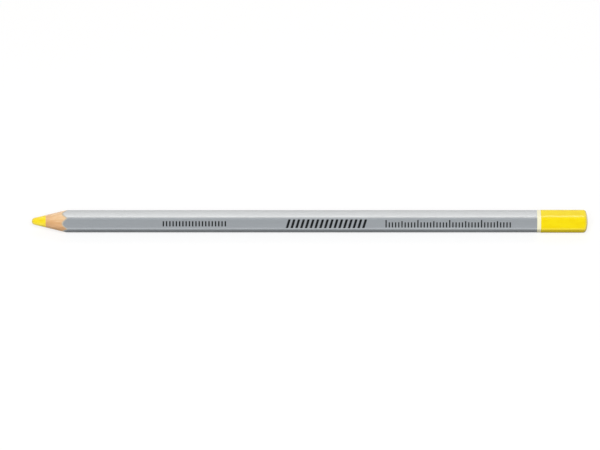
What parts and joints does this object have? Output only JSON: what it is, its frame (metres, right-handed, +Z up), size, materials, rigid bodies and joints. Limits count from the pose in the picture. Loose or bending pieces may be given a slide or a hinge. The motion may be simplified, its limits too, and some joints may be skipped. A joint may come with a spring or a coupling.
{
  "type": "marking pencil",
  "caption": "Hexagonal wooden marking pencil with a thick coloured lead, sharpened at one end, and a dipped, domed end cap behind a painted ring; it lies on one flat side.",
  "frame": {"origin": "under the middle of the pencil's length, on the surface that it lies on", "axes": "+X along the pencil from the sharpened point to the end cap, +Z up through the flat side that faces up, +Y across"},
  "size_m": [0.175, 0.0074, 0.0068],
  "materials": {
    "lead": "matte",
    "casing_wood": "matte",
    "body_lacquer": "satin",
    "ring_paint": "gloss",
    "cap_paint": "gloss"
  },
  "bodies": {
    "root": {"lead": "lead", "upper_casing_slat": "casing_wood", "lower_casing_slat": "casing_wood", "body_lacquer": "body_lacquer", "painted_ring": "ring_paint", "end_cap": "cap_paint"}
  },
  "joints": []
}
